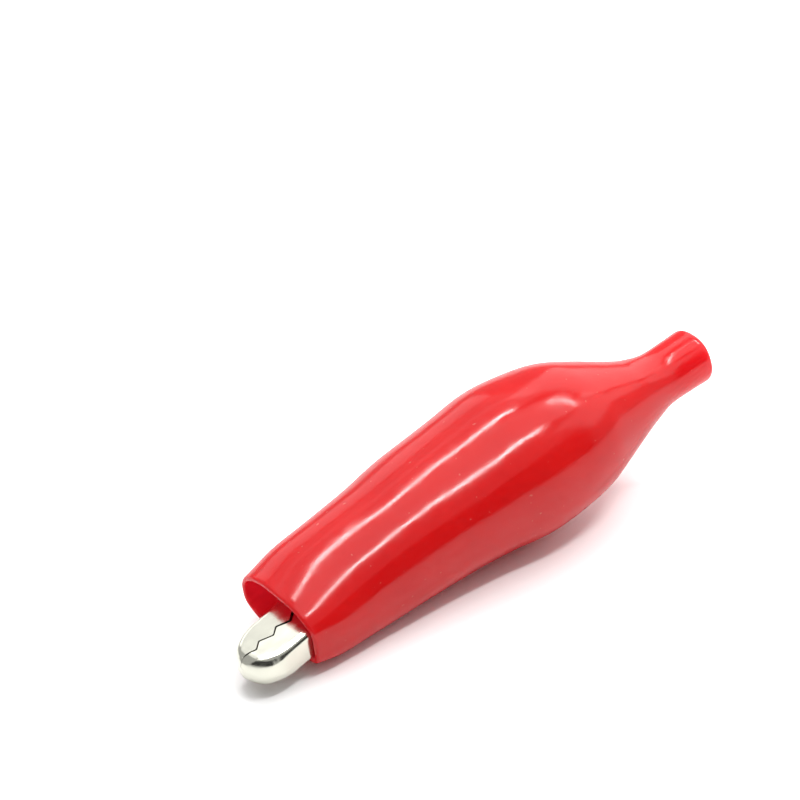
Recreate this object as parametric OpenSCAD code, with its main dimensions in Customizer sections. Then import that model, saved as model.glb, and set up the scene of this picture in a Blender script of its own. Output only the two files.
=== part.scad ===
// Insulated spring clip with toothed jaws and a soft slip-over boot.
// Frame: the origin is the centre of the wire entry, at the rear face of the boot's neck.
// +X runs forward to the jaw tips, +Z runs up along the pivot, +Y is the base jaw's side.

/* [Boot] */
// Length of the boot, from the neck's rear face to the rim of the mouth
boot_length = 51.5; // [48:0.5:54]
// Thickness of the boot's wall
boot_wall = 0.5; // [0.4:0.05:0.6]
// Radius of the wire hole in the neck
neck_bore_r = 2.05; // [1.8:0.05:2.2]
// Length of the neck's straight hole
neck_length = 5.5; // [5:0.5:6]
// Squareness of the oval's lever side, where 2 is a true ellipse
lever_side_square = 2.1; // [2:0.05:2.6]

/* [Jaws] */
// Distance of the pivot from the neck's rear face
pivot_x = 36; // [34:0.5:38]
// Sideways place of the pivot, where minus is the lever's side
pivot_y = -1.05; // [-1.25:0.05:-0.95]
// Angle between the bite line and the boot's axis
bite_angle = 8; // [6:0.5:9]
// Distance from the pivot to the jaw tips
jaw_reach = 21.7; // [20:0.1:23]
// Half of the closed jaws' height at the front
jaw_half_h = 2.6; // [2.4:0.05:2.6]
// Half of the jaws' width at the front
jaw_half_w = 1.65; // [1.55:0.05:1.7]
// Rounding of the nose, seen along the bite
nose_r = 1.1; // [0.8:0.1:1.4]
// Rounding of the jaws' long corners
jaw_corner_r = 0.7; // [0.6:0.1:1.2]
// Thickness of the sheet metal
sheet = 0.6; // [0.4:0.05:0.7]
// Distance from the pivot to the outside of either half's back
back_h = 3; // [2.8:0.1:3.2]

/* [Teeth] */
// Distance from one tooth to the next
tooth_pitch = 2.1; // [1.6:0.1:2.6]
// Height of the teeth
tooth_height = 0.55; // [0.4:0.05:1]
// Share of the pitch that the long ramp takes
tooth_ramp = 0.6; // [0.5:0.02:0.8]
// Number of teeth
tooth_count = 5; // [3:1:6]
// Gap between the closed rows of teeth
bite_gap = 0.16; // [0.08:0.02:0.2]

/* [Pivot and spring] */
// Radius of the rivet's shank
rivet_r = 0.87; // [0.7:0.01:1]
// Running clearance around the rivet's shank
rivet_fit = 0.03; // [0.02:0.01:0.06]
// Radius of the rivet's heads
rivet_head_r = 1.5; // [1.2:0.1:1.8]
// Radius of the pivot ears
ear_r = 2.1; // [1.8:0.1:2.2]
// Radius of the spring wire
wire_r = 0.28; // [0.2:0.02:0.3]
// Mean radius of the spring's coil
coil_r = 1.3; // [1.25:0.05:1.45]
// Number of turns in the coil
coil_turns = 4.5; // [3.5:1:5.5]

/* [Tail and screw] */
// Place of the clamp screw along the tail
screw_x = 15.5; // [15:0.5:16.5]
// Radius of the clamp screw's shank
screw_r = 1.2; // [1:0.05:1.3]
// Radius of the clamp screw's head
screw_head_r = 1.95; // [1.7:0.05:2.1]
// Radius of the cradle that holds the wire's jacket
cradle_r = 1.3; // [1:0.05:1.3]
// Length of the cradle
cradle_length = 4; // [3:0.5:4.5]
// Half of the tail's width
tail_half_w = 2.3; // [2:0.1:2.5]

/* [Hidden] */
$fn = 64;
eps = 0.01;

// Stations along the boot: place, half width in Y, half height in Z, centre in Y, centre in Z,
// and squareness of the base side's lower corner. The mouth hugs the base jaw and hangs on it.
boot_stations = [
    [0, 2.9, 2.9, 0, 0, 2], [2.5, 2.85, 2.85, 0, 0, 2], [neck_length, 2.9, 2.9, 0, 0, 2],
    [8, 3.55, 3.55, -0.1, -0.05, 2], [10, 4.35, 4.35, -0.35, -0.05, 2],
    [13, 5.75, 5.65, -0.95, -0.1, 2.1], [16, 7, 6.75, -1.35, -0.1, 2.1],
    [19.5, 7.7, 7.25, -1.65, -0.1, 2.1], [23.5, 8, 7.45, -2, -0.15, 2.1],
    [28, 7.55, 6.95, -2.15, -0.15, 2.1], [33, 7.05, 6.4, -2, -0.15, 2.1],
    [38, 6.55, 5.8, -1.65, -0.1, 2.2], [43, 6.15, 5.05, -1.3, 0.05, 2.4],
    [47.5, 5.9, 4.15, -1.1, 0.22, 3], [boot_length, 5.65, 3.12, -0.95, 0.38, 5.6]
];
upper_share = 0.12;         // share of that squareness in the base side's upper corner
rings_per_span = 3;
ring_sides = 32;

back_y = 1.9;               // outside of the tail's floor
cradle_x = neck_length + 1.3;
base_w = 2.6;               // half width over the base jaw's ears
lever_w = 3.3;              // half width over the lever jaw's ears
first_tooth = jaw_reach - 0.4;
teeth_start = first_tooth - tooth_pitch * tooth_count;
lever_end = -17.4;          // rear edge of the lever, from the pivot
lever_drop = 4.1;          // outside of the lever at its rear edge
rivet_half = lever_w + 0.05;
screw_top = back_y - sheet; // face that the screw's head clamps onto
screw_head_h = 1.1;
collar_h = 0.9;             // drawn collar around the screw hole
coil_half = coil_turns * wire_r * 1.1;

// Puts its children in the clip's own frame: pivot at the origin, bite line along X.
module clip_frame() {
    translate([pivot_x, pivot_y, 0]) rotate([0, 0, bite_angle]) children();
}

// A point of the clip's own frame, in the frame of the part.
function from_clip(p) = [
    pivot_x + p[0] * cos(bite_angle) - p[1] * sin(bite_angle),
    pivot_y + p[0] * sin(bite_angle) + p[1] * cos(bite_angle)
];

// Smooth curve through one column of the boot's stations.
function station(i) = boot_stations[max(0, min(len(boot_stations) - 1, i))];
function blend(i, k, t) =
    let (a = station(i - 1)[k], b = station(i)[k], c = station(i + 1)[k], d = station(i + 2)[k])
    b + 0.5 * t * (c - a + t * (2 * a - 5 * b + 4 * c - d + t * (3 * (b - c) + d - a)));
function boot_row(u) =
    let (i = min(len(boot_stations) - 2, floor(u)), t = u - i)
    [station(i)[0] + t * (station(i + 1)[0] - station(i)[0]), for (k = [1:5]) blend(i, k, t)];

// One oval ring of the boot, at station count u, taken in by inset and placed at x.
function power(v, squareness) = sign(v) * pow(abs(v), 2 / squareness);
function corner_square(lower, turn) =
    cos(turn) <= 0 ? lever_side_square
    : lever_side_square + (lower - lever_side_square) * (sin(turn) < 0 ? 1 : upper_share);
function boot_ring(u, inset, x) =
    let (row = boot_row(u))
    [for (j = [0:ring_sides - 1])
        let (turn = 360 * j / ring_sides, n = corner_square(row[5], turn))
        [x, row[3] + (row[1] - inset) * power(cos(turn), n),
         row[4] + (row[2] - inset) * power(sin(turn), n)]];

// Closed solid through rings that all have the same number of points.
module loft(rings) {
    n = len(rings[0]);
    last = len(rings) - 1;
    points = [for (ring = rings) each ring];
    sides = [for (i = [0:last - 1], j = [0:n - 1])
        [i * n + j, (i + 1) * n + j, (i + 1) * n + (j + 1) % n, i * n + (j + 1) % n]];
    first_cap = [for (j = [0:n - 1]) j];
    last_cap = [for (j = [n - 1:-1:0]) last * n + j];
    polyhedron(points, concat([first_cap], sides, [last_cap]), convexity = 6);
}

// Boot outline from station count first to the mouth, run on by extra past the mouth.
module boot_form(first, inset, extra) {
    spans = len(boot_stations) - 1;
    body = [for (s = [first * rings_per_span:spans * rings_per_span])
        let (u = s / rings_per_span) boot_ring(u, inset, boot_row(u)[0])];
    run_on = extra > 0 ? [boot_ring(spans, inset, boot_length + extra)] : [];
    loft(concat(body, run_on));
}

module boot() {
    color([0.86, 0.08, 0.09])
        difference() {
            boot_form(0, 0, 0);
            boot_form(2, boot_wall, 1);
            translate([-1, 0, 0]) rotate([0, 90, 0]) cylinder(r = neck_bore_r, h = neck_length + 2);
        }
}

// Corners of the zigzag bite line from the nose back, in the clip's own frame.
bite_line = [for (k = [0:tooth_count - 1])
    each [[first_tooth - k * tooth_pitch, -tooth_height / 2],
          [first_tooth - (k + tooth_ramp) * tooth_pitch, tooth_height / 2]]];

// Side outline of one half, without its teeth, taken in by inset.
module jaw_side(inset) {
    r = jaw_half_h - inset;
    round_x = jaw_reach - jaw_half_h;
    rear = inset > 0 ? -6 : -4;
    translate([round_x, 0]) circle(r = r);
    polygon([
        [round_x, -r], [round_x, r], [11, jaw_half_h + 0.1 - inset], [5, back_h - inset],
        [rear, back_h - inset], [rear, -2], [11, -2]
    ]);
}

// Everything on the base side of the bite line, moved over by half of the bite gap.
module bite_side(side) {
    gap = side * bite_gap / 2;
    relief = side * 0.35;
    polygon(concat(
        [[jaw_reach + 2, side * 6], [jaw_reach + 2, gap - tooth_height / 2]],
        [for (p = bite_line) [p[0], p[1] + gap]],
        [[teeth_start - 0.6, relief], [ear_r + 0.4, relief], [-6, relief], [-6, side * 6]]
    ));
}

// Plan outline of one half at the jaw end, taken in by inset. flare is its width at the ears.
module jaw_plan(inset, flare) {
    w = flare - inset;
    tip_w = jaw_half_w - inset;
    r = nose_r - inset;
    end = jaw_reach - nose_r;
    for (side = [-1, 1])
        translate([end, side * (tip_w - r)]) circle(r = r);
    polygon([
        [end, tip_w], [end + r, tip_w - r], [end + r, r - tip_w], [end, -tip_w],
        [12.5, inset - jaw_half_w - 0.05], [7, -w], [-4, -w],
        [-4, w], [7, w], [12.5, jaw_half_w + 0.05 - inset]
    ]);
}

// Plan outline stood upright, so that it cuts a solid seen from its side.
module upright() {
    rotate([90, 0, 0]) linear_extrude(height = 20, center = true) children();
}

// Toothed channel at the front of one half, hollow and open towards the other half.
module jaw_front(side, flare) {
    fold = side > 0 ? 0 : 1;
    difference() {
        intersection() {
            linear_extrude(height = 2 * flare, center = true)
                intersection() {
                    mirror([0, fold, 0]) jaw_side(0);
                    bite_side(side);
                }
            upright() jaw_plan(0, flare);
            jaw_corners(flare);
        }
        intersection() {
            linear_extrude(height = 2 * flare, center = true) mirror([0, fold, 0]) jaw_side(sheet);
            upright() jaw_plan(sheet, flare);
        }
    }
}

// Rounded section of the toothed end, and a plain block around the ears behind it.
module jaw_corners(flare) {
    r = jaw_corner_r;
    rotate([90, 0, 90])
        linear_extrude(height = jaw_reach + 1)
            union() {
                square([2 * (jaw_half_h + 0.2 - r), 2 * (jaw_half_w + 0.05)], center = true);
                square([2 * (jaw_half_h + 0.2), 2 * (jaw_half_w + 0.05 - r)], center = true);
                for (a = [-1, 1], b = [-1, 1])
                    translate([a * (jaw_half_h + 0.2 - r), b * (jaw_half_w + 0.05 - r)]) circle(r = r);
            }
    translate([-10, -5, -flare]) cube([22.5, 10, 2 * flare]);
}

// Round ears of one half on both of its side walls.
module ears(outer) {
    for (z = [outer - sheet, -outer])
        translate([0, 0, z]) cylinder(r = ear_r, h = sheet);
}

module pivot_hole() {
    cylinder(r = rivet_r + rivet_fit, h = 20, center = true);
}

// Side outline of the tail's floor, from the ears to the cradle.
module tail_strip() {
    root = from_clip([-3, back_h - 0.1]);
    polygon([
        [cradle_x + cradle_length - 0.5, back_y], [26, back_y], root, [root[0] + 0.1, root[1] - 0.4],
        [26, back_y - sheet], [cradle_x + cradle_length - 0.5, back_y - sheet]
    ]);
}

// Upright edge along both sides of the tail, behind the ears.
module tail_edge() {
    root = from_clip([-3, back_h - 0.2]);
    linear_extrude(height = sheet)
        polygon([[22, 1.6], [26, 1.7], root, [root[0], root[1] - 1.5], [26, 0.1], [22, 1.2]]);
}

module tail_plan() {
    w = tail_half_w;
    end = cradle_x + cradle_length - 1;
    polygon([
        [33, base_w], [20, base_w], [18, w], [screw_x - 2.3, w], [end, 1.4],
        [end, -1.4], [screw_x - 2.3, -w], [18, -w], [20, -base_w], [33, -base_w]
    ]);
}

// Open trough that holds the wire's jacket, on the axis of the neck.
module cradle() {
    difference() {
        translate([cradle_x, 0, 0]) rotate([0, 90, 0]) cylinder(r = back_y, h = cradle_length);
        translate([cradle_x - 1, 0, 0]) rotate([0, 90, 0]) cylinder(r = cradle_r, h = cradle_length + 2);
        translate([cradle_x - 1, -10.7, -5]) cube([cradle_length + 2, 10, 10]);
    }
}

module base_jaw() {
    color([0.82, 0.81, 0.76])
        difference() {
            union() {
                clip_frame() jaw_front(1, base_w);
                clip_frame() ears(base_w);
                intersection() {
                    linear_extrude(height = 2 * base_w, center = true) tail_strip();
                    upright() tail_plan();
                }
                for (z = [base_w - sheet, -base_w])
                    translate([0, 0, z]) tail_edge();
                cradle();
                translate([screw_x, back_y - eps, 0]) rotate([-90, 0, 0])
                    cylinder(r = screw_r + 0.6, h = collar_h + eps);
            }
            clip_frame() pivot_hole();
            translate([screw_x, 0, 0]) rotate([-90, 0, 0]) cylinder(r = screw_r + 0.05, h = 6);
        }
}

// Side outline of the thumb lever's back.
module lever_strip() {
    polygon([
        [-3, 0.1 - back_h], [lever_end, -lever_drop], [lever_end, sheet - lever_drop],
        [-3, sheet - 0.1 - back_h]
    ]);
}

module lever_plan() {
    r = 1.6;
    end = lever_end + r;
    polygon([
        [-2.5, lever_w], [-6, lever_w], [end, 2.3], [end, -2.3], [-6, -lever_w], [-2.5, -lever_w]
    ]);
    for (z = [-1, 1])
        translate([end, z * (2.3 - r)]) circle(r = r);
    translate([lever_end, r - 2.3]) square([2 * r, 2 * (2.3 - r)]);
}

// Folded edges that stiffen the lever, from its ears to near its end.
module lever_edges() {
    intersection() {
        difference() {
            upright() lever_plan();
            upright() lever_core();
        }
        linear_extrude(height = 2 * lever_w, center = true)
            polygon([
                [-3, 0.3 - back_h], [-15, 0.3 - lever_drop], [-15, 0.8 - lever_drop], [-9, -1.2], [-3, 0.6]
            ]);
    }
}

module lever_core() {
    w = lever_w - sheet;
    tip_w = 2.2 - sheet;
    polygon([
        [-2, w], [-6, w], [lever_end + 1, tip_w], [lever_end + 1, -tip_w], [-6, -w], [-2, -w]
    ]);
}

module lever_jaw() {
    color([0.82, 0.81, 0.76])
        clip_frame()
            difference() {
                union() {
                    jaw_front(-1, lever_w);
                    ears(lever_w);
                    intersection() {
                        linear_extrude(height = 2 * lever_w, center = true) lever_strip();
                        upright() lever_plan();
                    }
                    lever_edges();
                }
                pivot_hole();
            }
}

module pivot_rivet() {
    head_h = 0.5;
    dome_r = (pow(rivet_head_r, 2) + pow(head_h, 2)) / (2 * head_h);
    color([0.75, 0.74, 0.7])
        clip_frame() {
            cylinder(r = rivet_r, h = 2 * rivet_half + 0.2, center = true);
            for (side = [0, 1])
                mirror([0, 0, side])
                    intersection() {
                        translate([0, 0, rivet_half + head_h - dome_r]) sphere(r = dome_r);
                        translate([0, 0, rivet_half]) cylinder(r = rivet_head_r, h = 2);
                    }
        }
}

// Route of the spring wire: the lever's leg, the coil and the base's leg.
coil_steps = 18;
spring_route = concat(
    [[-9.5, -2.45, -coil_half], [-4, -1.75, -coil_half]],
    [for (i = [0:coil_turns * coil_steps])
        let (turn = -90 + 360 * i / coil_steps)
        [coil_r * cos(turn), coil_r * sin(turn), coil_half * (2 * i / (coil_turns * coil_steps) - 1)]],
    [[-4, 1.75, coil_half], [-9, 3.3, coil_half]]
);

// Ring of points around one place on a route.
function route_ring(route, i, r, sides) =
    let (
        a = route[max(0, i - 1)],
        b = route[min(len(route) - 1, i + 1)],
        t = (b - a) / norm(b - a),
        n = cross(t, [0, 0, 1]) / norm(cross(t, [0, 0, 1])),
        m = cross(t, n)
    )
    [for (j = [0:sides - 1])
        let (turn = 360 * j / sides)
        route[i] + r * (cos(turn) * n + sin(turn) * m)];

module torsion_spring() {
    color([0.6, 0.6, 0.6])
        clip_frame()
            loft([for (i = [0:len(spring_route) - 1]) route_ring(spring_route, i, wire_r, 8)]);
}

module clamp_screw() {
    top = screw_top - 0.05;
    color([0.8, 0.78, 0.7])
        translate([screw_x, 0, 0])
            difference() {
                union() {
                    translate([0, top, 0]) rotate([90, 0, 0]) cylinder(r = screw_head_r, h = screw_head_h);
                    translate([0, top - 0.2, 0]) rotate([-90, 0, 0])
                        cylinder(r = screw_r, h = back_y + collar_h + 0.6 - top);
                }
                translate([-0.25, top - screw_head_h - 1, -5]) cube([0.5, 1.5, 10]);
            }
}

boot();
base_jaw();
lever_jaw();
pivot_rivet();
torsion_spring();
clamp_screw();
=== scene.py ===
"""Insulated alligator clip: a soft red boot over two sprung, nickel-plated jaws."""
from math import cos, exp, pi, radians, sin, sqrt, tan

import bmesh
import bpy
from mathutils import Matrix, Vector

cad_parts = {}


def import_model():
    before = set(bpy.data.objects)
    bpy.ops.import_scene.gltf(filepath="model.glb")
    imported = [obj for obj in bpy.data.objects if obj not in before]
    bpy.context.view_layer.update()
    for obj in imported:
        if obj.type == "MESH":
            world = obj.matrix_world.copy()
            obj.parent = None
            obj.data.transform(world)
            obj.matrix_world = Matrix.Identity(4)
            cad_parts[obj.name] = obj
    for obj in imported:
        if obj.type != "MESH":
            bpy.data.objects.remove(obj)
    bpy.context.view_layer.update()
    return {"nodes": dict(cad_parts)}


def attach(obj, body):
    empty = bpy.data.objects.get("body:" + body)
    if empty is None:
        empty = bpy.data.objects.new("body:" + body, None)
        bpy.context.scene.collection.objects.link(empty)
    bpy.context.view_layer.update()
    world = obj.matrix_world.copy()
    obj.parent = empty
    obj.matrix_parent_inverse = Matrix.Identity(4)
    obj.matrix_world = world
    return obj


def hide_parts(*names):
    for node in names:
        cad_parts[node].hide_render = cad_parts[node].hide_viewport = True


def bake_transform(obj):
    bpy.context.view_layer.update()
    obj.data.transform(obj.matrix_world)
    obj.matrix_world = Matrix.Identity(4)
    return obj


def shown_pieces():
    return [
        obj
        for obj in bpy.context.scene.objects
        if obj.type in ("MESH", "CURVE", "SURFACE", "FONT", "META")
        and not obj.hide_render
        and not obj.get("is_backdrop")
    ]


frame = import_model()

MM = 0.001
# Points closer than this, in metres, are made one.
WELD = 2e-6
# A corner sharper than this shows as a crease.
CREASE = radians(40)

# ------------------------------------------------ dimensions of the boot, in millimetres

BOOT_LENGTH = 51.5
BOOT_WALL = 0.5
NECK_LENGTH = 5.5
NECK_WALL = 0.85
# Depth of the rounding at the neck's open end.
NECK_RIM = 0.4
# Stations along the boot: place, half width in Y, half height in Z, centre in Y, centre in Z,
# squareness of the base side's lower corner. A squareness of 2 is an ellipse.
BOOT_STATIONS = [
    (0, 2.87, 2.87, 0, 0, 2),
    (2.5, 2.8, 2.8, 0, 0, 2),
    (NECK_LENGTH, 2.85, 2.85, 0, 0, 2),
    (8, 3.5, 3.5, -0.1, -0.05, 2),
    (10, 4.3, 4.3, -0.35, -0.05, 2),
    (13, 5.7, 5.6, -0.95, -0.1, 2.1),
    (16, 6.95, 6.7, -1.35, -0.1, 2.1),
    (19.5, 7.65, 7.2, -1.65, -0.1, 2.1),
    (23.5, 7.95, 7.4, -2, -0.15, 2.1),
    (28, 7.5, 6.9, -2.15, -0.15, 2.1),
    (33, 7, 6.35, -2, -0.15, 2.1),
    (38, 6.5, 5.75, -1.65, -0.1, 2.2),
    (43, 6.1, 5, -1.3, 0.05, 2.4),
    (47.5, 5.87, 4.1, -1.1, 0.22, 3),
    (BOOT_LENGTH, 5.37, 2.97, -1, 0.43, 5.2),
]
LEVER_SIDE_SQUARE = 2.1
# Share of the lower corner's extra squareness that the base side's upper corner has.
UPPER_SHARE = 0.12
# Extra squareness of the lever side's lower corner at the mouth. The jaw needs it when it opens.
MOUTH_SQUARE = 1.1
# Lean of the oval towards the base side, just behind the mouth.
BOOT_ROLL = radians(8)
# Soft swellings of the moulding: place, turn about the axis in degrees, height, reach along it,
# reach round it in degrees.
BOOT_SWELLINGS = [
    (29, 22, 0.33, 6, 30),
    (27, 150, -0.3, 6, 35),
    (35, 150, 0.1, 3, 25),
    (45, 20, -0.15, 4, 28),
    (31, 205, 0.2, 6, 30),
    (40, 265, -0.18, 5, 30),
    (24, 300, 0.15, 5, 30),
]

# ------------------------------------------------ dimensions of the clip, in millimetres

# The clip has a frame of its own: its origin is on the rivet, its X runs along the bite to the
# tip, and side is 1 on the base's side of the bite and -1 on the lever's.
PIVOT = Vector((36, -1.05, 0))
BITE_ANGLE = radians(8)
SHEET = 0.6
# Where the smooth, toothed front of a jaw starts, and where it ends.
JAW_FRONT = 8.6
JAW_REACH = 21.65
# Half height and half width of the closed jaws near the tip, their half height at the rear, and
# the half widths of the base and of the lever there.
JAW_HALF_H = 2.59
JAW_HALF_W = 1.65
BACK_H = 2.98
BASE_W = 2.6
LEVER_W = 3.3
# How far a wall leans in from the bite to the corner.
WALL_LEAN = 0.06
# Rounding between wall and flat: at the start of the front, and past BEND_FULL.
FOLD_R = 0.12
JAW_CORNER_R = 0.7
BEND_FULL = 13
# Rounding of the tip across its width. From NOSE_FROM to NOSE_FULL the corner's rounding grows by
# NOSE_BEND, and by NOSE_STRETCH of itself across the flat.
NOSE_R = 1.3
NOSE_BEND = 0.4
NOSE_STRETCH = 0.8
NOSE_FROM = 18
NOSE_FULL = 20.8
# Teeth: the first one is nearest the tip, and TOOTH_RAMP is the long flank's share of the pitch.
FIRST_TOOTH = 21.3
TOOTH_COUNT = 5
TOOTH_PITCH = 2.1
TOOTH_HEIGHT = 0.55
TOOTH_RAMP = 0.6
TOOTH_WEAR = 0.07
# Length of the slope behind the last tooth.
REAR_RAMP = 0.6
# Gap between the teeth, half of what is left of it at the tip, how much a jaw's edge draws back
# towards the last tooth, and how far it stands from the bite line behind the teeth.
BITE_GAP = 0.16
TIP_HALF_GAP = 0.02
REAR_DRAW = 0.1
REAR_HALF_GAP = 0.35

# Half of the rivet's length between its heads.
RIVET_HALF = LEVER_W + 0.06

# Radius of the spring's wire, and of its coil to the middle of the wire.
WIRE_R = 0.28
COIL_R = 1.3
COIL_TURNS = 4.5
COIL_HALF = COIL_TURNS * WIRE_R * 1.1
# Legs of the spring in the clip's frame, from end to coil and from coil to end.
BASE_LEG = [(-9.5, -2.45), (-7.5, -2.2), (-5.5, -1.94), (-4, -1.75), (-2.6, -1.58), (-1.2, -1.4)]
LEVER_LEG = [(-1.2, 1.4), (-2.6, 1.58), (-4, 1.75), (-5.5, 2.2), (-7.2, 2.76), (-9, 3.3)]

# The screw's place along the boot, and its shank from under the head to its point.
SCREW_X = 15.5
SCREW_R = 1.2
SCREW_TOP = 1.25
SCREW_END = 3.35
SCREW_POINT = 0.25
THREAD_PITCH = 0.5
THREAD_DEPTH = 0.17

# ------------------------------------------------ colours

VINYL_DEEP = (0.65, 0.009, 0.010)
VINYL_LIGHT = (0.72, 0.016, 0.015)
VINYL_GLOW = (0.95, 0.13, 0.2)
DUST = (0.85, 0.55, 0.5)
NICKEL = (0.635, 0.63, 0.545)
RIVET_STEEL = (0.70, 0.68, 0.64)
SPRING_STEEL = (0.45, 0.45, 0.46)
SCREW_STEEL = (0.74, 0.71, 0.62)

# ------------------------------------------------ the set

# The floor's frame has its Z straight up from the floor. The clip lies on the boot's bulge and
# the jaws' nose, so its axis is nose down by REST_TILT in that frame.
REST_TILT = radians(8.65)
# The camera, in the floor's frame. Distances are in millimetres.
CAMERA_AZIMUTH = radians(140.1)
CAMERA_ELEVATION = radians(32.6)
CAMERA_DISTANCE = 183.8
CAMERA_LENS = 89.3
CAMERA_AIM = Vector((28, 0, -0.171))
# How far to the right of the picture's middle, and above it, the aim shows, at its distance.
CAMERA_SHIFT = (7.8, -8.8)
# The stretch of floor under the clip, in metres along X, and how softly it levels out past it.
FLOOR_FROM = -0.06
FLOOR_TO = 0.059
FLOOR_EASE = 0.006
WORLD_LEVEL = 0.57
# Long lights: directions from the clip to both ends in the floor's frame, width and distance in
# metres, watts.
LIGHTS = [
    ("strip_lever_side", (-0.32, -0.36, 0.92), (0.15, -0.36, 0.92), 0.025, 0.5, 0.85),
    ("strip_base_side", (-0.35, 0.34, 0.94), (0.15, 0.28, 0.94), 0.025, 0.5, 0.95),
    ("strip_rear", (-0.56, 0.2, 0.81), (-0.47, -0.17, 0.87), 0.014, 0.5, 0.3),
    ("window", (-0.5, -0.49, 0.78), (0.5, -0.49, 0.78), 0.17, 0.6, 0.24),
    ("window_low", (-0.5, -0.7, 0.7), (0.5, -0.7, 0.7), 0.13, 0.6, 0.15),
    ("wall_back", (-0.53, 0.59, 0.6), (-0.8, 0.03, 0.6), 0.32, 0.65, 0.55),
    ("wall_rear", (-0.87, 0, 0.5), (-0.56, -0.66, 0.5), 0.39, 0.6, 1.0),
    ("wall_side", (-0.39, -0.83, 0.39), (0.16, -0.91, 0.39), 0.23, 0.6, 0.36),
    ("ceiling", (-0.6, 0.02, 0.9), (0.6, 0.02, 0.9), 0.4, 0.8, 1.9),
]
# Dark cards: azimuth, lowest and highest elevation in degrees, width and distance in metres.
CARDS = [
    ("side_card", 200, 2, 37, 0.44, 0.6),
    ("front_card", 128, -1, 42, 0.9, 0.5),
]

# ------------------------------------------------ small helpers


def smooth(a, b, x):
    """0 on a's side, 1 on b's side, and a smooth rise between them. a may be more than b."""
    t = min(1, max(0, (x - a) / (b - a)))
    return t * t * (3 - 2 * t)


def curve_through(rows, k, x):
    """Value of column k at x, on a smooth curve through the rows, whose first column is x."""
    i = max(0, min(len(rows) - 2, sum(r[0] <= x for r in rows) - 1))
    a, b, c, d = (rows[max(0, min(len(rows) - 1, j))] for j in (i - 1, i, i + 1, i + 2))
    t = (x - b[0]) / (c[0] - b[0])
    slope_b = (c[k] - a[k]) / (c[0] - a[0])
    slope_c = (d[k] - b[k]) / (d[0] - b[0])
    span = c[0] - b[0]
    return (
        b[k] * (1 + 2 * t) * (1 - t) ** 2
        + c[k] * t * t * (3 - 2 * t)
        + slope_b * span * t * (1 - t) ** 2
        - slope_c * span * t * t * (1 - t)
    )


def line_through(points, x):
    """Value at x on the straight lines through points, which may come in any order."""
    points = sorted(points)
    for (x0, y0), (x1, y1) in zip(points, points[1:]):
        if x <= x1:
            return y0 + (y1 - y0) * min(1, max(0, (x - x0) / (x1 - x0)))
    return points[-1][1]


def power(v, squareness):
    """v to the power that gives a superellipse of this squareness, with the sign of v."""
    return (1 if v >= 0 else -1) * abs(v) ** (2 / squareness)


def spread(a, b, count):
    """count values from a to b, both included."""
    return [a + (b - a) * i / (count - 1) for i in range(count)]


def new_object(name, data):
    obj = bpy.data.objects.new(name, data)
    bpy.context.collection.objects.link(obj)
    return obj


def turn_outward(mesh, weld=0):
    """Makes every face look out of the solid, once points closer than weld metres are one."""
    bm = bmesh.new()
    bm.from_mesh(mesh)
    if weld:
        bmesh.ops.remove_doubles(bm, verts=bm.verts, dist=weld)
    bmesh.ops.recalc_face_normals(bm, faces=bm.faces)
    bm.to_mesh(mesh)
    bm.free()


def mesh_object(name, points, faces, material, smooth_shade=True):
    """New object from points in millimetres."""
    mesh = bpy.data.meshes.new(name)
    mesh.from_pydata([tuple(c * MM for c in p) for p in points], [], faces)
    mesh.validate()
    mesh.polygons.foreach_set("use_smooth", [smooth_shade] * len(mesh.polygons))
    mesh.materials.append(material)
    turn_outward(mesh)
    return new_object(name, mesh)


def tube_faces(ring_count, sides, closed):
    """Quads between rings of points, and back to the first ring if closed."""
    last = ring_count if closed else ring_count - 1
    return [
        (i * sides + j, i * sides + (j + 1) % sides,
         (i + 1) % ring_count * sides + (j + 1) % sides, (i + 1) % ring_count * sides + j)
        for i in range(last)
        for j in range(sides)
    ]


def rod_faces(ring_count, sides):
    """Quads between rings of points, and a flat face on the first ring and on the last."""
    last = (ring_count - 1) * sides
    ends = [tuple(range(sides)), tuple(last + j for j in range(sides))]
    return tube_faces(ring_count, sides, False) + ends


# ------------------------------------------------ materials


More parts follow.
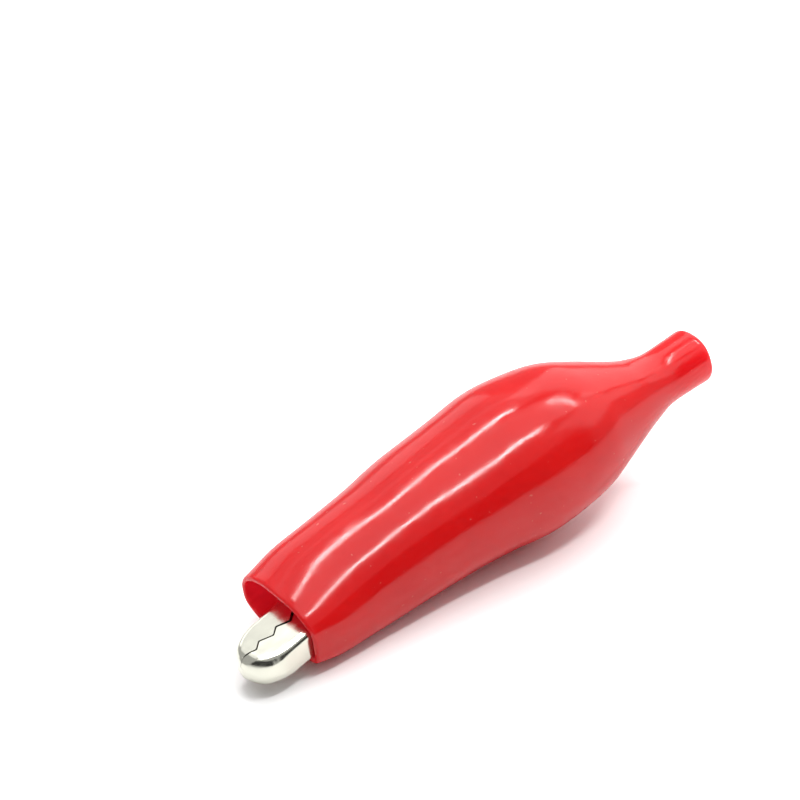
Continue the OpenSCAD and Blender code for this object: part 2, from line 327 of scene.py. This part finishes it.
class Nodes:
    """Short way to build a material's nodes."""

    def __init__(self, name):
        self.material = bpy.data.materials.new(name)
        self.material.use_nodes = True
        self.tree = self.material.node_tree
        self.shader = self.tree.nodes["Principled BSDF"]
        self.place = self.tree.nodes.new("ShaderNodeTexCoord").outputs["Object"]

    def add(self, kind, links=None, **values):
        """New node, with values on its sockets or settings and links into its sockets."""
        node = self.tree.nodes.new(kind)
        for key, value in values.items():
            if key in node.inputs:
                node.inputs[key].default_value = value
            else:
                setattr(node, key, value)
        for key, source in (links or {}).items():
            self.tree.links.new(source, node.inputs[key])
        return node

    def noise(self, size_mm, detail=3.0, roughness=0.5, stretch=(1, 1, 1)):
        """Noise whose features are about size_mm across, in the range 0 to 1."""
        scaled = self.add("ShaderNodeMapping", {"Vector": self.place}, Scale=stretch)
        return self.add(
            "ShaderNodeTexNoise", {"Vector": scaled.outputs[0]},
            Scale=1 / (size_mm * MM), Detail=detail, Roughness=roughness,
        ).outputs["Fac"]

    def remap(self, source, low, high, start=0.3, end=0.7):
        """low where source is start or less, high where it is end or more."""
        return self.add(
            "ShaderNodeMapRange", {"Value": source},
            **{"From Min": start, "From Max": end, "To Min": low, "To Max": high},
        ).outputs[0]

    def mix(self, factor, a, b):
        """Colour from a to b, each an RGB value or a socket."""
        node = self.add("ShaderNodeMix", {"Factor": factor}, data_type="RGBA")
        for socket, value in ((node.inputs[6], a), (node.inputs[7], b)):
            if isinstance(value, tuple):
                socket.default_value = (*value, 1)
            else:
                self.tree.links.new(value, socket)
        return node.outputs[2]

    def bump(self, layers):
        """Bump from (height, depth in mm) layers, one on top of the other."""
        normal = None
        for height, depth in layers:
            links = {"Height": height}
            if normal:
                links["Normal"] = normal
            node = self.add("ShaderNodeBump", links, Distance=depth * MM, Strength=1.0)
            normal = node.outputs[0]
        self.tree.links.new(normal, self.shader.inputs["Normal"])

    def feed(self, name, source):
        """Links source into the shader's socket of that name."""
        self.tree.links.new(source, self.shader.inputs[name])

    def fix(self, **values):
        """Sets the shader's own sockets."""
        for name, value in values.items():
            self.shader.inputs[name.replace("_", " ")].default_value = value


def soft_vinyl():
    """Dip-moulded red vinyl: deep colour, wet gloss, faint flow marks and dust."""
    n = Nodes("soft_vinyl")
    red = n.mix(n.remap(n.noise(7, 3), 0, 1), VINYL_DEEP, VINYL_LIGHT)
    dust = n.remap(n.noise(0.35, 0), 0, 0.35, 0.82, 0.88)
    n.feed("Base Color", n.mix(dust, red, DUST))
    n.feed("Roughness", n.remap(n.noise(1.6, 4), 0.10, 0.19))
    n.fix(IOR=1.53, Subsurface_Weight=0.6, Subsurface_Scale=0.0012)
    n.fix(Subsurface_Radius=(1.0, 0.12, 0.08))
    n.bump([(n.noise(5.5, 1.5), 0.10), (n.noise(0.5, 3), 0.003)])
    glow = n.add("ShaderNodeBsdfTranslucent", Color=(*VINYL_GLOW, 1))
    both = n.add("ShaderNodeMixShader", {1: n.shader.outputs[0], 2: glow.outputs[0]}, Fac=0.45)
    n.tree.links.new(both.outputs[0], n.tree.nodes["Material Output"].inputs["Surface"])
    return n.material


def plated(name, tint):
    """Bright plate over steel: soft shine, draw marks and fine handling scratches."""
    n = Nodes(name)
    cloud = n.remap(n.noise(2.5, 4), 0, 1)
    n.feed("Base Color", n.mix(cloud, tuple(0.93 * c for c in tint), tint))
    n.feed("Roughness", n.remap(n.noise(0.8, 4, 0.6, (0.25, 1, 1)), 0.12, 0.24))
    n.fix(Metallic=1.0)
    n.bump([(n.noise(1.8, 2), 0.012), (n.noise(0.12, 2, 0.6, (0.1, 1, 1)), 0.0015)])
    return n.material


def matt(name, size_mm, dark, light, **values):
    """Matt card or paper, mottled from the grey dark to the grey light."""
    n = Nodes(name)
    n.feed("Base Color", n.mix(n.noise(size_mm, 2), (dark,) * 3, (light,) * 3))
    n.fix(**values)
    return n.material


# ------------------------------------------------ boot


def swelling(x, turn):
    """How far the moulding stands proud of its even shape."""
    total = 0
    for place, angle, height, along, around in BOOT_SWELLINGS:
        off = (turn * 180 / pi - angle + 180) % 360 - 180
        total += height * exp(-((x - place) / along) ** 2 - (off / around) ** 2)
    return total


def boot_point(x, turn, inset):
    """A point of the boot's skin at x and turn, taken in by inset."""
    half_y, half_z, mid_y, mid_z, square = (curve_through(BOOT_STATIONS, k, x) for k in range(1, 6))
    n = LEVER_SIDE_SQUARE
    if cos(turn) > 0:
        n += (square - n) * (1 if sin(turn) < 0 else UPPER_SHARE)
    elif sin(turn) < 0:
        n += MOUTH_SQUARE * smooth(45, 50, x)
    inset -= swelling(x, turn)
    y = (half_y - inset) * power(cos(turn), n)
    z = (half_z - inset) * power(sin(turn), n)
    roll = BOOT_ROLL * smooth(38, 43, x) * (1 - smooth(47, BOOT_LENGTH, x))
    return (x, mid_y + y * cos(roll) + z * sin(roll), mid_z + z * cos(roll) - y * sin(roll))


def boot_inset(x):
    """Wall thickness of the boot at x: thick in the neck, thin in the sleeve."""
    return NECK_WALL + (BOOT_WALL - NECK_WALL) * smooth(NECK_LENGTH - 1, NECK_LENGTH + 3, x)


def trimmed(x, turn):
    """How far a point moves along X, because neither end is trimmed quite square."""
    neck = 1 + sin(2 * turn + 0.6) * 0.6 + sin(5 * turn) * 0.4
    mouth = 1 + sin(3 * turn + 1) * 0.7 + sin(7 * turn) * 0.3
    return 0.07 * neck * smooth(3, 0, x) - 0.05 * mouth * smooth(BOOT_LENGTH - 2.5, BOOT_LENGTH, x)


def boot(vinyl):
    """Closed shell: outer skin, rounded rim at the mouth, inner skin, rounded rim at the neck."""
    sides = 112
    rim = [pi * i / 7 for i in range(1, 7)]
    lip = BOOT_WALL / 2
    outside = [(x, 0) for x in spread(NECK_RIM, BOOT_LENGTH - lip, 110)]
    mouth = [(BOOT_LENGTH - lip + lip * sin(a), lip * (1 - cos(a))) for a in rim]
    inside = [(x, boot_inset(x)) for x in spread(BOOT_LENGTH - lip, NECK_RIM, 90)]
    neck = [(NECK_RIM - NECK_RIM * sin(a), NECK_WALL / 2 * (1 + cos(a))) for a in rim]
    profile = outside + mouth + inside + neck
    points = []
    for x, inset in profile:
        for j in range(sides):
            turn = 2 * pi * j / sides
            px, py, pz = boot_point(x, turn, inset)
            points.append((px + trimmed(x, turn), py, pz))
    obj = mesh_object("boot_skin", points, tube_faces(len(profile), sides, True), vinyl)
    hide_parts("boot")
    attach(obj, "sleeve")


# ------------------------------------------------ jaws


def from_clip(x, y, z):
    """A point of the clip's own frame, in the frame of the part."""
    return (
        PIVOT.x + x * cos(BITE_ANGLE) - y * sin(BITE_ANGLE),
        PIVOT.y + x * sin(BITE_ANGLE) + y * cos(BITE_ANGLE),
        z,
    )


def bite_height(x, side):
    """Edge of one jaw's wall along the bite, with slightly worn tooth corners."""
    low = (side * BITE_GAP - TOOTH_HEIGHT) / 2
    high = (side * BITE_GAP + TOOTH_HEIGHT) / 2
    rear = FIRST_TOOTH - TOOTH_PITCH * TOOTH_COUNT - REAR_RAMP
    corners = [(JAW_FRONT - 1, side * REAR_HALF_GAP), (rear, side * REAR_HALF_GAP)]
    for k in range(TOOTH_COUNT):
        corners.append((FIRST_TOOTH - k * TOOTH_PITCH, low))
        corners.append((FIRST_TOOTH - (k + TOOTH_RAMP) * TOOTH_PITCH, high))
    corners.append((JAW_REACH + 1, low))
    worn = [line_through(corners, x + off) for off in (-TOOTH_WEAR, 0, TOOTH_WEAR)]
    closed_by = (BITE_GAP / 2 - TIP_HALF_GAP) * smooth(NOSE_FULL, FIRST_TOOTH, x)
    drawn_back = REAR_DRAW * smooth(18, 14.5, x)
    return sum(worn) / len(worn) - side * (closed_by - drawn_back)


def jaw_section(x, flare, inset):
    """Half height, half width and corner rounding of the jaws' outside at x, taken in by inset."""
    reach = JAW_REACH - inset
    heights = [(5, BACK_H), (11, JAW_HALF_H + 0.1), (19, JAW_HALF_H)]
    widths = [(7, flare - 0.02), (12.3, JAW_HALF_W + 0.07), (19, JAW_HALF_W)]
    high = line_through(heights, x) - inset
    wide = line_through(widths, x) - inset
    nose_from = reach - high
    if x > nose_from:
        high *= sqrt(max(0, 1 - ((x - nose_from) / high) ** 2))
    tip_r = NOSE_R - inset * 0.7
    if x > reach - tip_r:
        wide -= tip_r * (1 - sqrt(max(0, 1 - ((x - reach + tip_r) / tip_r) ** 2)))
    bend = FOLD_R + (JAW_CORNER_R - FOLD_R) * smooth(JAW_FRONT, BEND_FULL, x)
    bend += NOSE_BEND * smooth(NOSE_FROM, NOSE_FULL, x)
    return high, wide, max(0.1, bend - inset)


def jaw_profile(x, side, flare, inset):
    """U-shaped line round one jaw at x, from the bite edge at +Z to the bite edge at -Z."""
    high, wide, bend = jaw_section(x, flare, inset)
    edge = min(max(side * bite_height(x, side), -high), high)
    # The corner shrinks with the wall, which the nose takes down to nothing.
    bend = min(bend, 0.98 * (high - edge) + 1e-4, wide)
    corner_y = high - bend
    lean = WALL_LEAN * smooth(9, BEND_FULL, x)
    top = wide - lean
    bend_z = min(top - 0.05, bend * (1 + NOSE_STRETCH * smooth(NOSE_FROM, NOSE_FULL, x)))
    half = [
        (edge + (corner_y - edge) * t, wide - lean * t)
        for t in (0, 0.06, 0.2, 0.4, 0.6, 0.8, 1)
    ]
    half += [
        (corner_y + bend * sin(a), top - bend_z + bend_z * cos(a))
        for a in spread(pi / 16, pi / 2, 8)
    ]
    half += [(high, (top - bend_z) * t) for t in (0.6, 0.2)]
    line = half + [(y, -z) for y, z in reversed(half)]
    return [(x, side * y, z) for y, z in line]


def sheet_faces(line_count, size):
    """Faces of a sheet from its outer lines of points, followed by its inner lines."""
    half = line_count * size
    last = half - size
    faces = []
    for i in range(line_count - 1):
        for j in range(size - 1):
            a, b = i * size + j, (i + 1) * size + j
            faces.append((a, a + 1, b + 1, b))
            faces.append((half + a, half + b, half + b + 1, half + a + 1))
        a, b = i * size, (i + 1) * size
        faces.append((a, b, half + b, half + a))
        a, b = a + size - 1, b + size - 1
        faces.append((a, half + a, half + b, b))
    for j in range(size - 1):
        faces.append((j, half + j, half + j + 1, j + 1))
        faces.append((last + j, last + j + 1, half + last + j + 1, half + last + j))
    return faces


def jaw_front(name, side, flare, material):
    """Toothed end of one jaw: a folded sheet with a closed, rounded nose."""
    close_from = 19.2
    stations = spread(JAW_FRONT, close_from, 108)
    stations += [close_from + (JAW_REACH - close_from) * sin(a) for a in spread(pi / 80, pi / 2, 40)]
    # The inner lines keep pace with the outer ones, and end one sheet sooner.
    inner_from = 18.5
    shrink = (JAW_REACH - SHEET - inner_from) / (JAW_REACH - inner_from)
    inner_stations = [min(x, inner_from) + max(0, x - inner_from) * shrink for x in stations]
    lines = [jaw_profile(x, side, flare, 0) for x in stations]
    lines += [jaw_profile(x, side, flare, SHEET) for x in inner_stations]
    points = [from_clip(*p) for line in lines for p in line]
    obj = mesh_object(name, points, sheet_faces(len(stations), len(lines[0])), material)
    turn_outward(obj.data, WELD)
    obj.data.set_sharp_from_angle(angle=CREASE)
    return obj


def softened_copy(name, node, material, place, direction, edge_r):
    """Copy of a CAD node, rolled over at its sharp edges, without what lies past place."""
    mesh = frame["nodes"][node].data.copy()
    mesh.name = name
    bm = bmesh.new()
    bm.from_mesh(mesh)
    bmesh.ops.remove_doubles(bm, verts=bm.verts, dist=WELD)
    bmesh.ops.dissolve_limit(bm, angle_limit=radians(1), verts=bm.verts, edges=bm.edges)
    geometry = [*bm.verts, *bm.edges, *bm.faces]
    bmesh.ops.bisect_plane(
        bm, geom=geometry, plane_co=place, plane_no=direction, clear_outer=True
    )
    sharp = [
        e for e in bm.edges
        if len(e.link_faces) == 2 and e.calc_face_angle() > radians(35)
    ]
    bmesh.ops.bevel(
        bm, geom=sharp, offset=edge_r * MM, segments=2, profile=0.6,
        affect="EDGES", clamp_overlap=True,
    )
    bm.to_mesh(mesh)
    bm.free()
    mesh.polygons.foreach_set("use_smooth", [True] * len(mesh.polygons))
    mesh.set_sharp_from_angle(angle=CREASE)
    mesh.materials.clear()
    mesh.materials.append(material)
    return new_object(name, mesh)


def joined(name, *parts):
    """One object made of parts."""
    bm = bmesh.new()
    for part in parts:
        bm.from_mesh(part.data)
    mesh = bpy.data.meshes.new(name)
    mesh.materials.append(parts[0].data.materials[0])
    bm.to_mesh(mesh)
    bm.free()
    for part in parts:
        bpy.data.objects.remove(part)
    return new_object(name, mesh)


def jaw(name, node, side, flare, body, material):
    """Half of the clip: its toothed end made smooth, the rest of it with softened edges."""
    # The rear reaches a little way into the front.
    place = Vector(from_clip(JAW_FRONT + 0.15, 0, 0)) * MM
    direction = Vector((cos(BITE_ANGLE), sin(BITE_ANGLE), 0))
    rear = softened_copy(name + "_rear", node, material, place, direction, 0.07)
    front = jaw_front(name + "_front", side, flare, material)
    obj = joined(name, rear, front)
    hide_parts(node)
    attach(obj, body)


# ------------------------------------------------ rivet, spring and screw


def rivet(material):
    """Shank with two rolled heads, each with a shallow punch mark."""
    # Outline of a head: how far it stands past the lever's wall, and its radius there.
    head = [
        (0, 0.86), (0, 1.38), (0.06, 1.46), (0.16, 1.45), (0.3, 1.28), (0.42, 0.95),
        (0.47, 0.6), (0.44, 0.42), (0.34, 0.3), (0.3, 0.02),
    ]
    outline = [(-RIVET_HALF - proud, radius) for proud, radius in reversed(head)]
    outline += [(RIVET_HALF + proud, radius) for proud, radius in head]
    sides = 48
    points = [
        PIVOT + Vector((radius * cos(2 * pi * j / sides), radius * sin(2 * pi * j / sides), along))
        for along, radius in outline
        for j in range(sides)
    ]
    obj = mesh_object("rivet_pin", points, rod_faces(len(outline), sides), material)
    obj.data.set_sharp_from_angle(angle=CREASE)
    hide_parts("pivot_rivet")
    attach(obj, "clip_base")


def spring(material):
    """Torsion spring round the rivet, with a leg under each half of the clip."""
    steps = 36
    route = [(x, y, -COIL_HALF) for x, y in BASE_LEG]
    for i in range(int(COIL_TURNS * steps) + 1):
        turn = radians(-90) + 2 * pi * i / steps
        lift = COIL_HALF * (2 * i / (COIL_TURNS * steps) - 1)
        route.append((COIL_R * cos(turn), COIL_R * sin(turn), lift))
    route += [(x, y, COIL_HALF) for x, y in LEVER_LEG]
    places = [Vector(from_clip(*p)) for p in route]
    last = len(places) - 1
    sides = 14
    points = []
    for i, place in enumerate(places):
        along = (places[min(i + 1, last)] - places[max(i - 1, 0)]).normalized()
        across = along.cross(Vector((0, 0, 1))).normalized()
        other = along.cross(across)
        # The cut ends are a little narrower than the wire.
        radius = WIRE_R * (0.8 if i in (0, last) else 0.985)
        for j in range(sides):
            a = 2 * pi * j / sides
            points.append(place + (across * cos(a) + other * sin(a)) * radius)
    obj = mesh_object("spring_coil", points, rod_faces(len(places), sides), material)
    obj.data.set_sharp_from_angle(angle=radians(50))
    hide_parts("torsion_spring")
    lift = Vector((0, 0, COIL_HALF * MM))
    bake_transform(obj)


def screw(material):
    """Slotted head from the CAD, over a shank with a real helical thread."""
    under_head = Vector((0, SCREW_TOP + 0.02, 0)) * MM
    head = softened_copy("screw_head", "clamp_screw", material, under_head, Vector((0, 1, 0)), 0.09)
    shank_from = SCREW_TOP - 0.05
    sides, rows = 36, 60
    points = []
    for along in spread(shank_from, SCREW_END, rows + 1):
        taper = SCREW_POINT * smooth(SCREW_END - 0.4, SCREW_END, along)
        for j in range(sides):
            turn = 2 * pi * j / sides
            phase = (along / THREAD_PITCH - j / sides) % 1
            deep = (1 - abs(2 * phase - 1)) * smooth(shank_from, SCREW_TOP + 0.3, along)
            radius = SCREW_R - 0.01 - THREAD_DEPTH * deep - taper
            points.append((SCREW_X + radius * cos(turn), along, radius * sin(turn)))
    shank = mesh_object("screw_shank", points, rod_faces(rows + 1, sides), material)
    obj = joined("screw_part", head, shank)
    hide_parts("clamp_screw")
    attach(obj, "screw")


# ------------------------------------------------ camera, light and floor


def rest_turn():
    """Rotation from the frame of the part to the frame of the floor."""
    return Matrix.Rotation(REST_TILT, 3, "Y")


def camera():
    """Camera in front of the jaws, on the base's side, which looks down at the clip."""
    to_part = rest_turn().inverted()
    level = cos(CAMERA_ELEVATION)
    back = Vector((
        sin(CAMERA_AZIMUTH) * level, -cos(CAMERA_AZIMUTH) * level, sin(CAMERA_ELEVATION)
    ))
    right = Vector((0, 0, 1)).cross(back).normalized()
    up = back.cross(right)
    place = back * CAMERA_DISTANCE - right * CAMERA_SHIFT[0] - up * CAMERA_SHIFT[1]
    data = bpy.data.cameras.new("camera")
    data.lens = CAMERA_LENS
    data.clip_start = 0.005
    data.clip_end = 10
    obj = new_object("camera", data)
    axes = Matrix([to_part @ right, to_part @ up, to_part @ back]).transposed()
    obj.matrix_world = Matrix.Translation((CAMERA_AIM + to_part @ place) * MM) @ axes.to_4x4()
    bpy.context.scene.camera = obj


def lowest_point(up):
    """Lowest place of the object along up, in metres."""
    depsgraph = bpy.context.evaluated_depsgraph_get()
    heights = []
    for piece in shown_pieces():
        shown = piece.evaluated_get(depsgraph)
        heights += [up.dot(shown.matrix_world @ v.co) for v in shown.data.vertices]
    return min(heights)


def floor():
    """Paper under the clip, which levels out in front of it and behind it."""
    up = rest_turn().inverted() @ Vector((0, 0, 1))
    foot = lowest_point(up) / up.z
    slope = tan(REST_TILT)

    def height(x):
        inside = min(max(x, FLOOR_FROM), FLOOR_TO)
        eased = FLOOR_EASE * (1 - exp(-abs(x - inside) / FLOOR_EASE))
        return foot + slope * (inside + (eased if x > inside else -eased))

    along = [-2.5, -1.2, -0.6, -0.35, -0.25, *spread(-0.18, 0.18, 73), 0.25, 0.35, 0.6, 1.2, 2.5]
    across = [-2.5, -1, -0.3, 0, 0.3, 1, 2.5]
    points = [(x / MM, y / MM, height(x) / MM) for x in along for y in across]
    n = len(across)
    faces = [
        (i * n + j, (i + 1) * n + j, (i + 1) * n + j + 1, i * n + j + 1)
        for i in range(len(along) - 1)
        for j in range(n - 1)
    ]
    paper = matt("floor_paper", 40, 0.90, 0.93, Roughness=0.6, IOR=1.2)
    mesh_object("floor", points, faces, paper)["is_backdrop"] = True


def soft_box(name, start, end, width, distance, watts):
    """Long light over the clip. start and end are the directions of its ends from the clip."""
    to_part = rest_turn().inverted()
    ends = [to_part @ Vector(d).normalized() * distance for d in (start, end)]
    along = (ends[1] - ends[0]).normalized()
    middle = (ends[0] + ends[1]) / 2
    back = (middle - along * middle.dot(along)).normalized()
    axes = Matrix([along, back.cross(along), back]).transposed()
    data = bpy.data.lights.new(name, "AREA")
    data.shape = "RECTANGLE"
    data.size = (ends[1] - ends[0]).length
    data.size_y = width
    data.energy = watts
    obj = new_object(name, data)
    obj.matrix_world = Matrix.Translation(CAMERA_AIM * MM + middle) @ axes.to_4x4()


def dark_card(name, azimuth, low, high, width, distance):
    """Upright dark card beside the set, which the shiny parts mirror and no camera sees."""
    to_part = rest_turn().inverted()
    a = radians(azimuth)
    out = Vector((sin(a), -cos(a), 0)) * distance
    side = Vector((cos(a), sin(a), 0)) * width / 2
    corners = [
        out + side * across + Vector((0, 0, distance * tan(radians(up))))
        for across, up in ((-1, low), (1, low), (1, high), (-1, high))
    ]
    points = [to_part @ c / MM + CAMERA_AIM for c in corners]
    material = matt(name, 60, 0.012, 0.02, Roughness=0.9)
    card = mesh_object(name, points, [(0, 1, 2, 3)], material, smooth_shade=False)
    card.visible_camera = False
    card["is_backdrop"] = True


def world():
    """Even white light from all round, and colours shown as they are."""
    scene_world = bpy.data.worlds.new("studio")
    scene_world.use_nodes = True
    background = scene_world.node_tree.nodes["Background"]
    background.inputs["Color"].default_value = (1, 1, 1, 1)
    background.inputs["Strength"].default_value = WORLD_LEVEL
    bpy.context.scene.world = scene_world
    bpy.context.scene.view_settings.view_transform = "Standard"


nickel = plated("nickel_plate", NICKEL)
boot(soft_vinyl())
jaw("jaw_base", "base_jaw", 1, BASE_W, "clip_base", nickel)
jaw("jaw_lever", "lever_jaw", -1, LEVER_W, "lever", nickel)
rivet(plated("rivet_steel", RIVET_STEEL))
spring(plated("spring_steel", SPRING_STEEL))
screw(plated("screw_steel", SCREW_STEEL))
camera()
floor()
world()
for light in LIGHTS:
    soft_box(*light)
for card in CARDS:
    dark_card(*card)
